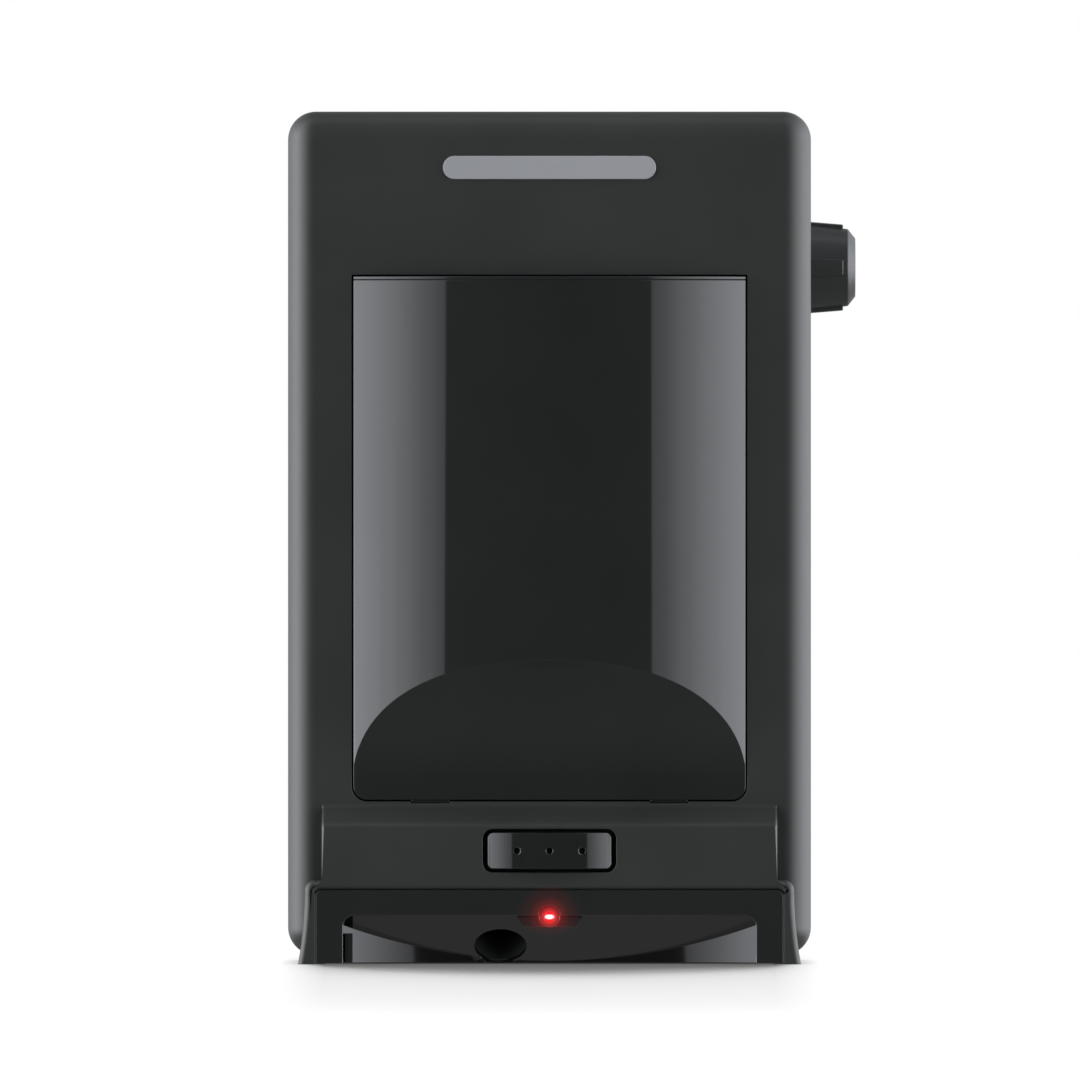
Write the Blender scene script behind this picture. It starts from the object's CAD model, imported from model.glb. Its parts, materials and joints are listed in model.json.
import json
import math

import bmesh
import bpy
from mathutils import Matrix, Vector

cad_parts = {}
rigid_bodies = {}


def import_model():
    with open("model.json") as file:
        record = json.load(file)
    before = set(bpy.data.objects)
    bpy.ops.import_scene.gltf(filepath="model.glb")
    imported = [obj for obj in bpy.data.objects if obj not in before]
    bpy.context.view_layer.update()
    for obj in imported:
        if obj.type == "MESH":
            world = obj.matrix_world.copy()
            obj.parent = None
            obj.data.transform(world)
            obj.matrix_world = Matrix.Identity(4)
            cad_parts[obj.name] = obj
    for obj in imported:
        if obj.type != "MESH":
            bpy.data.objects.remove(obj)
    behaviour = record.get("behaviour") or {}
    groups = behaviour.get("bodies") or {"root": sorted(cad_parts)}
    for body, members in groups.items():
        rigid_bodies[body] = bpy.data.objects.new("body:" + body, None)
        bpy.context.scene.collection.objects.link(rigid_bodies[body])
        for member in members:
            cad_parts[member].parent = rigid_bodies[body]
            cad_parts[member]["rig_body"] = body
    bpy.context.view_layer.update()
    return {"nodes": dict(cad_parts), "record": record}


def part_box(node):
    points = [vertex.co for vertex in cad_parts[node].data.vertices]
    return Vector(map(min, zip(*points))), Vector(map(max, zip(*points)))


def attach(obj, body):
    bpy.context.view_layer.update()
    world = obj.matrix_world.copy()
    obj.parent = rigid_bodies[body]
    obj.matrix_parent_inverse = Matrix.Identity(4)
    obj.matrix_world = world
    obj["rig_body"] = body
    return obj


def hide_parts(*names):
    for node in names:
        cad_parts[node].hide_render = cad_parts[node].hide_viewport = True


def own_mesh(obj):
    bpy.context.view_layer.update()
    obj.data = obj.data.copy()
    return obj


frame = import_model()
NODES = frame["nodes"]
SLOT_OF = {s["node"]: s["material_slot"] for s in frame["record"]["subparts"]}
BODY_OF = {n: o["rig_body"] for n, o in NODES.items()}
MM = 0.001
LAMP = (0, -0.1145, 0.0245)
LAMP_HEART = (0.0031, 1.0, 0.0016)
LAMP_DOME = 0.0013
LIGHT_HOLES_X = (-16.8, 0, 16.8)
LIGHT_HOLES_Z = 58.6
FLOOR_REACH = 8
FLOOR_FALL = 0.0612
SHADOW_REACH = 0.4


# Camera, backdrop and light

def make_camera():
    """A long lens, level and square to the front, as the product shot has it."""
    field = 0.5573
    lens = 1500.0
    sensor = 36.0
    low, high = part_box("front_shell")
    data = bpy.data.cameras.new("camera")
    data.lens = lens
    data.sensor_width = sensor
    data.clip_end = 60
    cam = bpy.data.objects.new("camera", data)
    bpy.context.scene.collection.objects.link(cam)
    cam.location = (-0.0049, low.y - field * lens / sensor, 0.2188)
    cam.rotation_euler = (math.radians(90), 0, 0)
    bpy.context.scene.camera = cam


def node(tree, kind, place=(0, 0), **settings):
    n = tree.nodes.new(kind)
    n.location = place
    for key, value in settings.items():
        setattr(n, key, value)
    return n


def colour_ramp(tree, value, stops, place=(0, 0)):
    """A ramp through the given stops, each (position, (r, g, b))."""
    ramp = node(tree, "ShaderNodeValToRGB", place)
    tree.links.new(value, ramp.inputs["Fac"])
    elements = ramp.color_ramp.elements
    for at, _ in stops[1:-1]:
        elements.new(at)
    for element, (at, colour) in zip(elements, stops):
        element.position = at
        element.color = (*colour, 1)
    return ramp.outputs["Color"]


def grey_ramp(tree, value, stops, top=1.0):
    return colour_ramp(tree, value, [(at, (v / top,) * 3) for at, v in stops])


def map_range(tree, value, a0, a1, b0, b1):
    span = node(tree, "ShaderNodeMapRange")
    for key, number in zip(("From Min", "From Max", "To Min", "To Max"), (a0, a1, b0, b1)):
        span.inputs[key].default_value = number
    tree.links.new(value, span.inputs["Value"])
    return span.outputs["Result"]


def times(tree, a, b):
    product = node(tree, "ShaderNodeMath", operation="MULTIPLY")
    tree.links.new(a, product.inputs[0])
    if isinstance(b, (int, float)):
        product.inputs[1].default_value = b
    else:
        tree.links.new(b, product.inputs[1])
    return product.outputs[0]


def make_world():
    """White studio: tall soft boxes left and right, darkness behind the camera."""
    world = bpy.data.worlds.new("studio")
    bpy.context.scene.world = world
    world.use_nodes = True
    tree = world.node_tree
    tree.nodes.clear()
    link = tree.links.new
    coord = node(tree, "ShaderNodeTexCoord")
    split = node(tree, "ShaderNodeSeparateXYZ")
    link(coord.outputs["Generated"], split.inputs[0])
    side = node(tree, "ShaderNodeMath", operation="ABSOLUTE")
    link(split.outputs["X"], side.inputs[0])
    turn = node(tree, "ShaderNodeMath", operation="ARCTAN2")
    link(side.outputs[0], turn.inputs[0])
    link(times(tree, split.outputs["Y"], -1), turn.inputs[1])
    share = times(tree, turn.outputs[0], 1 / math.pi)
    # Brightness by direction round the object: 0 is the camera's side, 1 is behind.
    near = [(0.0, 0.02), (0.1705, 0.02), (0.1715, 0.6), (0.19, 0.85), (0.225, 1.49),
            (0.26, 2.15), (0.33, 3.4)]
    left = near + [(0.38, 5.0), (0.48, 6.0), (0.58, 3.8), (0.7, 1.6), (0.85, 0.6), (1.0, 0.35)]
    right = near + [(0.38, 3.8), (0.48, 4.6), (0.58, 4.2), (0.7, 2.4), (0.85, 0.9), (1.0, 0.35)]
    top = max(v for _, v in left + right)
    which = node(tree, "ShaderNodeMath", operation="GREATER_THAN")
    link(split.outputs["X"], which.inputs[0])
    which.inputs[1].default_value = 0
    both = node(tree, "ShaderNodeMix", data_type="RGBA")
    link(which.outputs[0], both.inputs[0])
    link(grey_ramp(tree, share, left, top), both.inputs[6])
    link(grey_ramp(tree, share, right, top), both.inputs[7])
    cool = node(tree, "ShaderNodeMix", data_type="RGBA", blend_type="MULTIPLY")
    cool.inputs[0].default_value = 1
    link(both.outputs[2], cool.inputs[6])
    cool.inputs[7].default_value = (0.965, 0.98, 1.04, 1)
    above = map_range(tree, split.outputs["Z"], 0.2, 0.9, 1.0, 0.2)
    below = map_range(tree, split.outputs["Z"], -0.4, -0.1, 0.03, 1.0)
    boxes = node(tree, "ShaderNodeBackground")
    link(cool.outputs[2], boxes.inputs["Color"])
    link(times(tree, times(tree, above, below), top), boxes.inputs["Strength"])
    ground = node(tree, "ShaderNodeBackground")
    link(map_range(tree, split.outputs["Z"], -0.6, -0.05, 0.24, 0.0), ground.inputs["Strength"])
    lit = node(tree, "ShaderNodeAddShader")
    link(boxes.outputs[0], lit.inputs[0])
    link(ground.outputs[0], lit.inputs[1])
    plain = node(tree, "ShaderNodeBackground")
    plain.inputs["Color"].default_value = (1, 1, 1, 1)
    plain.inputs["Strength"].default_value = 1.0
    path = node(tree, "ShaderNodeLightPath")
    mix = node(tree, "ShaderNodeMixShader")
    link(path.outputs["Is Camera Ray"], mix.inputs["Fac"])
    link(lit.outputs[0], mix.inputs[1])
    link(plain.outputs[0], mix.inputs[2])
    out = node(tree, "ShaderNodeOutputWorld")
    link(mix.outputs[0], out.inputs["Surface"])


def make_floor():
    """White sweep with a soft contact shadow, level under the object and falling away in front of it.
    The fall lets an almost level camera see a short shadow as tall as a long one on a flat floor."""
    mesh = bpy.data.meshes.new("floor")
    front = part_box("base_shoe")[0].y - 0.001
    rows = [(-FLOOR_REACH, (FLOOR_REACH + front) * -FLOOR_FALL), (front, 0), (FLOOR_REACH, 0)]
    verts = [(x, y, z) for y, z in rows for x in (-FLOOR_REACH, FLOOR_REACH)]
    mesh.from_pydata(verts, [], [(0, 1, 3, 2), (2, 3, 5, 4)])
    floor = bpy.data.objects.new("floor", mesh)
    bpy.context.scene.collection.objects.link(floor)
    mat = bpy.data.materials.new("floor")
    mat.use_nodes = True
    tree = mat.node_tree
    tree.nodes.clear()
    link = tree.links.new
    near = node(tree, "ShaderNodeAmbientOcclusion", samples=32)
    near.inputs["Distance"].default_value = SHADOW_REACH
    stops = [(0.5, 0.13), (0.584, 0.16), (0.674, 0.2), (0.707, 0.265), (0.732, 0.39), (0.766, 0.667),
             (0.834, 0.807), (0.949, 0.895), (0.985, 0.95), (1.0, 1.0)]
    coord = node(tree, "ShaderNodeTexCoord")
    split = node(tree, "ShaderNodeSeparateXYZ")
    link(coord.outputs["Object"], split.inputs[0])
    side = node(tree, "ShaderNodeMath", operation="ABSOLUTE")
    link(split.outputs["X"], side.inputs[0])
    white = node(tree, "ShaderNodeMix", data_type="RGBA")
    link(map_range(tree, side.outputs[0], 0.116, 0.14, 0.0, 1.0), white.inputs[0])
    link(grey_ramp(tree, near.outputs["AO"], stops), white.inputs[6])
    white.inputs[7].default_value = (1, 1, 1, 1)
    glow = node(tree, "ShaderNodeEmission")
    link(white.outputs[2], glow.inputs["Color"])
    glow.inputs["Strength"].default_value = 1.02
    out = node(tree, "ShaderNodeOutputMaterial")
    link(glow.outputs[0], out.inputs["Surface"])
    mesh.materials.append(mat)
    floor.visible_diffuse = False
    floor.visible_glossy = False
    floor.visible_transmission = False
    floor.visible_shadow = False


# Materials

def base_material(name):
    mat = bpy.data.materials.new(name)
    mat.use_nodes = True
    return mat, mat.node_tree, mat.node_tree.nodes["Principled BSDF"]


def spill(tree, bsdf):
    """Red light from the status lamp, fading over the plastic around it."""
    coord = node(tree, "ShaderNodeTexCoord", (-1100, -600))
    gap = node(tree, "ShaderNodeVectorMath", (-900, -600), operation="DISTANCE")
    tree.links.new(coord.outputs["Object"], gap.inputs[0])
    gap.inputs[1].default_value = LAMP
    reach = node(tree, "ShaderNodeMapRange", (-700, -600))
    reach.inputs["From Min"].default_value = 0.0022
    reach.inputs["From Max"].default_value = 0.017
    tree.links.new(gap.outputs["Value"], reach.inputs["Value"])
    strength = [(0.0, 0.9), (0.14, 0.36), (0.3, 0.1), (0.55, 0.025), (1.0, 0.0)]
    red = [(at, (v, v * 0.03, v * 0.03)) for at, v in strength]
    fade = colour_ramp(tree, reach.outputs["Result"], red, (-500, -600))
    tree.links.new(fade, bsdf.inputs["Emission Color"])
    bsdf.inputs["Emission Strength"].default_value = 1.0


def moulded(name, colour, rough, grain=0.0, grain_size=0.0006, coat=0.0, spread=0.06, specular=0.5,
            lamp=False):
    """Moulded plastic: a slight drift of colour and gloss, and a fine spark-eroded grain."""
    mat, tree, bsdf = base_material(name)
    link = tree.links.new
    coord = node(tree, "ShaderNodeTexCoord", (-1100, 0))
    cloud = node(tree, "ShaderNodeTexNoise", (-850, 200))
    cloud.inputs["Scale"].default_value = 18
    cloud.inputs["Detail"].default_value = 4
    link(coord.outputs["Object"], cloud.inputs["Vector"])
    tint = node(tree, "ShaderNodeValToRGB", (-600, 300))
    low = [c * (1 - spread) for c in colour]
    high = [c * (1 + spread) for c in colour]
    tint.color_ramp.elements[0].color = (*low, 1)
    tint.color_ramp.elements[1].color = (*high, 1)
    tint.color_ramp.elements[0].position = 0.3
    tint.color_ramp.elements[1].position = 0.7
    link(cloud.outputs["Fac"], tint.inputs["Fac"])
    link(tint.outputs["Color"], bsdf.inputs["Base Color"])
    gloss = node(tree, "ShaderNodeMapRange", (-600, 50))
    gloss.inputs["To Min"].default_value = rough * 0.9
    gloss.inputs["To Max"].default_value = rough * 1.1
    link(cloud.outputs["Fac"], gloss.inputs["Value"])
    link(gloss.outputs["Result"], bsdf.inputs["Roughness"])
    bsdf.inputs["Specular IOR Level"].default_value = specular
    bsdf.inputs["Coat Weight"].default_value = coat
    bsdf.inputs["Coat Roughness"].default_value = 0.03
    if lamp:
        spill(tree, bsdf)
    if grain:
        pits = node(tree, "ShaderNodeTexNoise", (-850, -250))
        pits.inputs["Scale"].default_value = 1 / grain_size
        pits.inputs["Detail"].default_value = 2
        link(coord.outputs["Object"], pits.inputs["Vector"])
        bump = node(tree, "ShaderNodeBump", (-350, -250))
        bump.inputs["Strength"].default_value = grain
        bump.inputs["Distance"].default_value = 0.0001
        link(pits.outputs["Fac"], bump.inputs["Height"])
        link(bump.outputs["Normal"], bsdf.inputs["Normal"])
    return mat


def glowing(name, colour, strength):
    """A lit lamp: white-hot oval heart, saturated colour towards the rim."""
    mat, tree, bsdf = base_material(name)
    link = tree.links.new
    coord = node(tree, "ShaderNodeTexCoord", (-1100, 0))
    place = node(tree, "ShaderNodeMapping", (-900, 0), vector_type="TEXTURE")
    place.inputs["Location"].default_value = LAMP
    place.inputs["Scale"].default_value = LAMP_HEART
    link(coord.outputs["Object"], place.inputs["Vector"])
    reach = node(tree, "ShaderNodeVectorMath", (-700, 0), operation="LENGTH")
    link(place.outputs["Vector"], reach.inputs[0])
    rim = tuple(c * 0.6 for c in colour)
    stops = [(0.0, (1, 0.92, 0.9)), (0.55, (1, 0.7, 0.65)), (0.85, (1, 0.05, 0.06)), (1.0, rim)]
    link(colour_ramp(tree, reach.outputs["Value"], stops, (-500, 0)), bsdf.inputs["Emission Color"])
    bsdf.inputs["Base Color"].default_value = (*colour, 1)
    bsdf.inputs["Emission Strength"].default_value = strength
    bsdf.inputs["Roughness"].default_value = 0.15
    return mat


def smoked(name, colour, rough):
    """Smoked glossy plastic, frosted where it is scooped out and faces down."""
    mat = moulded(name, colour, rough, coat=0.5)
    tree = mat.node_tree
    bsdf = tree.nodes["Principled BSDF"]
    shape = node(tree, "ShaderNodeNewGeometry", (-900, -500))
    split = node(tree, "ShaderNodeSeparateXYZ", (-700, -500))
    tree.links.new(shape.outputs["Normal"], split.inputs[0])
    frost = map_range(tree, split.outputs["Z"], -0.5, -0.03, 0.2, rough)
    tree.links.new(frost, bsdf.inputs["Roughness"])
    veil = map_range(tree, split.outputs["Z"], -0.3, -0.03, 0.0, 0.5)
    tree.links.new(veil, bsdf.inputs["Coat Weight"])
    return mat


def metal(name, colour, rough):
    mat, tree, bsdf = base_material(name)
    link = tree.links.new
    coord = node(tree, "ShaderNodeTexCoord", (-1000, 0))
    stretch = node(tree, "ShaderNodeMapping", (-800, 0))
    stretch.inputs["Scale"].default_value = (40, 40, 900)
    link(coord.outputs["Object"], stretch.inputs["Vector"])
    lines = node(tree, "ShaderNodeTexNoise", (-600, 0))
    lines.inputs["Scale"].default_value = 3
    link(stretch.outputs["Vector"], lines.inputs["Vector"])
    gloss = node(tree, "ShaderNodeMapRange", (-350, 0))
    gloss.inputs["To Min"].default_value = rough * 0.7
    gloss.inputs["To Max"].default_value = rough * 1.3
    link(lines.outputs["Fac"], gloss.inputs["Value"])
    link(gloss.outputs["Result"], bsdf.inputs["Roughness"])
    tint = node(tree, "ShaderNodeValToRGB", (-350, 250))
    tint.color_ramp.elements[0].color = (*[c * 0.85 for c in colour], 1)
    tint.color_ramp.elements[1].color = (*colour, 1)
    link(lines.outputs["Fac"], tint.inputs["Fac"])
    link(tint.outputs["Color"], bsdf.inputs["Base Color"])
    bsdf.inputs["Metallic"].default_value = 1.0
    return mat


def make_materials():
    return {
        "casing": moulded("casing", (0.0395, 0.0428, 0.0388), 0.37, 0.25, lamp=True),
        "base": moulded("base", (0.02, 0.021, 0.021), 0.6, 0.4),
        "rubber": moulded("rubber", (0.012, 0.012, 0.012), 0.75, 0.5, 0.001),
        "bezel": moulded("bezel", (0.0235, 0.0255, 0.024), 0.08, coat=0.5, lamp=True),
        "mouth": moulded("mouth", (0.0085, 0.0085, 0.0085), 0.1, coat=0.9, specular=0.5, lamp=True),
        "sensor_dark": moulded("sensor_dark", (0.025, 0.025, 0.025), 0.1, coat=0.4, lamp=True),
        "led_red": glowing("led_red", (1.0, 0.01, 0.015), 1.6),
        "circuit_board": moulded("circuit_board", (0.015, 0.1, 0.04), 0.35, 0.2),
        "duct": moulded("duct", (0.035, 0.037, 0.037), 0.4, 0.2),
        "bay": moulded("bay", (0.014, 0.015, 0.015), 0.5, 0.3),
        "bin_smoke": smoked("bin_smoke", (0.023, 0.0245, 0.023), 0.05),
        "bin_trim": moulded("bin_trim", (0.023, 0.0245, 0.0245), 0.1, coat=0.4),
        "filter_foam": moulded("filter_foam", (0.08, 0.085, 0.09), 0.9, 0.9, 0.0015),
        "filter_paper": moulded("filter_paper", (0.6, 0.58, 0.5), 0.9, 0.6, 0.001),
        "fan_alloy": metal("fan_alloy", (0.6, 0.61, 0.62), 0.4),
        "motor_steel": metal("motor_steel", (0.4, 0.41, 0.42), 0.35),
        "bearing_steel": metal("bearing_steel", (0.6, 0.6, 0.6), 0.15),
        "copper_winding": metal("copper_winding", (0.55, 0.2, 0.08), 0.4),
        "cap_plastic": moulded("cap_plastic", (0.047, 0.05, 0.048), 0.33, 0.25),
        "button_gloss": moulded("button_gloss", (0.019, 0.0205, 0.0195), 0.06, coat=0.5),
        "light_pipe": moulded("light_pipe", (0.04, 0.042, 0.042), 0.2),
        "spring_steel": metal("spring_steel", (0.5, 0.5, 0.52), 0.3),
        "screw_steel": metal("screw_steel", (0.3, 0.31, 0.32), 0.35),
        "badge": moulded("badge", (0.4, 0.41, 0.42), 0.3),
    }


MATERIALS = make_materials()


def dress_cad():
    """Gives each CAD part the material of its slot."""
    for name, obj in NODES.items():
        obj.data.materials.clear()
        obj.data.materials.append(MATERIALS[SLOT_OF[name]])


# Moulded forms: CAD shapes with their hard edges rounded

def everywhere(a, b):
    return True


def moulded_form(name, steps, angle=30):
    """Shows a copy of a CAD node whose outer hard edges are rounded.
    Each step is (width in mm, segments, test of an edge's two ends in mm)."""
    bm = bmesh.new()
    bm.from_mesh(NODES[name].data)
    bmesh.ops.remove_doubles(bm, verts=bm.verts, dist=2e-6)
    bmesh.ops.dissolve_limit(bm, angle_limit=math.radians(0.3), verts=bm.verts, edges=bm.edges)
    for width, segments, wanted in steps:
        edges = [e for e in bm.edges if len(e.link_faces) == 2 and e.is_convex
                 and e.calc_face_angle(0) > math.radians(angle)
                 and wanted(e.verts[0].co / MM, e.verts[1].co / MM)]
        bmesh.ops.bevel(bm, geom=edges, offset=width * MM, offset_type="OFFSET", segments=segments,
                        profile=0.5, affect="EDGES", clamp_overlap=False, loop_slide=True)
    for face in bm.faces:
        face.smooth = True
    for edge in bm.edges:
        edge.smooth = len(edge.link_faces) == 2 and edge.calc_face_angle(0) < math.radians(40)
    mesh = bpy.data.meshes.new(name + "_form")
    bm.to_mesh(mesh)
    bm.free()
    mesh.materials.append(MATERIALS[SLOT_OF[name]])
    obj = bpy.data.objects.new(name + "_form", mesh)
    bpy.context.scene.collection.objects.link(obj)
    normals = obj.modifiers.new("normals", "WEIGHTED_NORMAL")
    normals.keep_sharp = True
    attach(obj, BODY_OF[name])
    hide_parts(name)
    return obj


def shoe_rim(a, b):
    """The shoe's front edge: upright sides, flare and shoulders."""
    outer = [abs(p.x) > 117.3 and (abs(p.x) > 121.5 or p.z > 36) for p in (a, b)]
    return all(outer) and max(a.y, b.y) < -115.9 and max(a.z, b.z) < 44 and max(abs(a.x), abs(b.x)) > 117.6


def chin_side(a, b):
    """The chin's two upright edges, either side of the push panel."""
    return min(abs(a.x), abs(b.x)) > 117.3 and max(abs(a.x), abs(b.x)) < 117.5 and max(a.y, b.y) < -94.05


def light_hole(a, b):
    """Rims of the start button's three light holes."""
    return all(abs(p.z - LIGHT_HOLES_Z) < 1.8 and min(abs(p.x - x) for x in LIGHT_HOLES_X) < 1.8
               for p in (a, b))


def round_everything():
    forms = {
        "base_shoe": [(3.2, 6, shoe_rim), (1.5, 5, chin_side), (0.35, 3, everywhere)],
        "front_shell": [(0.4, 3, everywhere)],
        "rear_shell": [(0.5, 3, everywhere)],
        "intake_bezel": [(0.5, 3, everywhere)],
        "intake_scoop": [(0.15, 2, everywhere)],
        "beam_window": [(0.3, 2, everywhere)],
        "sensor_window": [(0.4, 3, everywhere)],
        "start_button": [(0.8, 5, light_hole), (0.35, 3, everywhere)],
        "indicator_lights": [(0.4, 3, everywhere)],
        "button_frame": [(0.3, 2, everywhere)],
        "bin_body": [(0.35, 3, everywhere)],
        "bin_lid": [(0.35, 3, everywhere)],
        "exhaust_cap": [(0.5, 3, everywhere)],
        "exhaust_port": [(0.3, 2, everywhere)],
        "carry_grip": [(0.6, 3, everywhere)],
        "cord_inlet": [(0.5, 3, everywhere)],
        "switch_frame": [(0.4, 3, everywhere)],
        "mode_switch": [(0.5, 3, everywhere)],
        "case_screws": [(0.3, 3, everywhere)],
        "front_badge": [(0.35, 3, everywhere)],
        "base_plate": [(0.5, 3, everywhere)],
        "foot_ring": [(0.5, 3, everywhere)],
        "bin_bay": [(0.4, 2, everywhere)],
        "filter_holder": [(0.4, 3, everywhere)],
        "bin_filter": [(1.0, 3, everywhere)],
    }
    for name, steps in forms.items():
        moulded_form(name, steps)


def make_spring():
    """The start button's return spring, which shortens as the button goes in."""
    spring = moulded_form("button_spring", [])
    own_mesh(spring)


def make_lamp():
    """The status lamp's lens, a shallow dome inside the CAD part's outline."""
    low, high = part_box("status_led")
    middle = (low + high) / 2
    half_x = (high.x - low.x) / 2
    rings, around = 9, 48
    bm = bmesh.new()
    loops = []
    for i in range(rings):
        turn = math.pi / 2 * i / rings
        y = low.y + LAMP_DOME * (1 - math.cos(math.pi / 2 - turn))
        radius = half_x * math.cos(turn)
        loops.append([bm.verts.new((radius * math.cos(a), y, middle.z + radius * math.sin(a)))
                      for a in (2 * math.pi * k / around for k in range(around))])
    back = [bm.verts.new((v.co.x, high.y, v.co.z)) for v in loops[0]]
    tip = bm.verts.new((0, low.y, middle.z))
    for one, two in zip([back] + loops[:-1], loops):
        for k in range(around):
            bm.faces.new((one[k], one[(k + 1) % around], two[(k + 1) % around], two[k]))
    for k in range(around):
        bm.faces.new((loops[-1][k], loops[-1][(k + 1) % around], tip))
    bm.faces.new(back)
    bmesh.ops.recalc_face_normals(bm, faces=bm.faces)
    for face in bm.faces:
        face.smooth = len(face.verts) < 5
    mesh = bpy.data.meshes.new("lamp_lens")
    bm.to_mesh(mesh)
    bm.free()
    mesh.materials.append(MATERIALS["led_red"])
    lens = bpy.data.objects.new("lamp_lens", mesh)
    bpy.context.scene.collection.objects.link(lens)
    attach(lens, "housing")
    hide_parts("status_led")


make_camera()
make_world()
make_floor()
dress_cad()
round_everything()
make_lamp()
make_spring()
bpy.context.scene.view_settings.view_transform = "Standard"
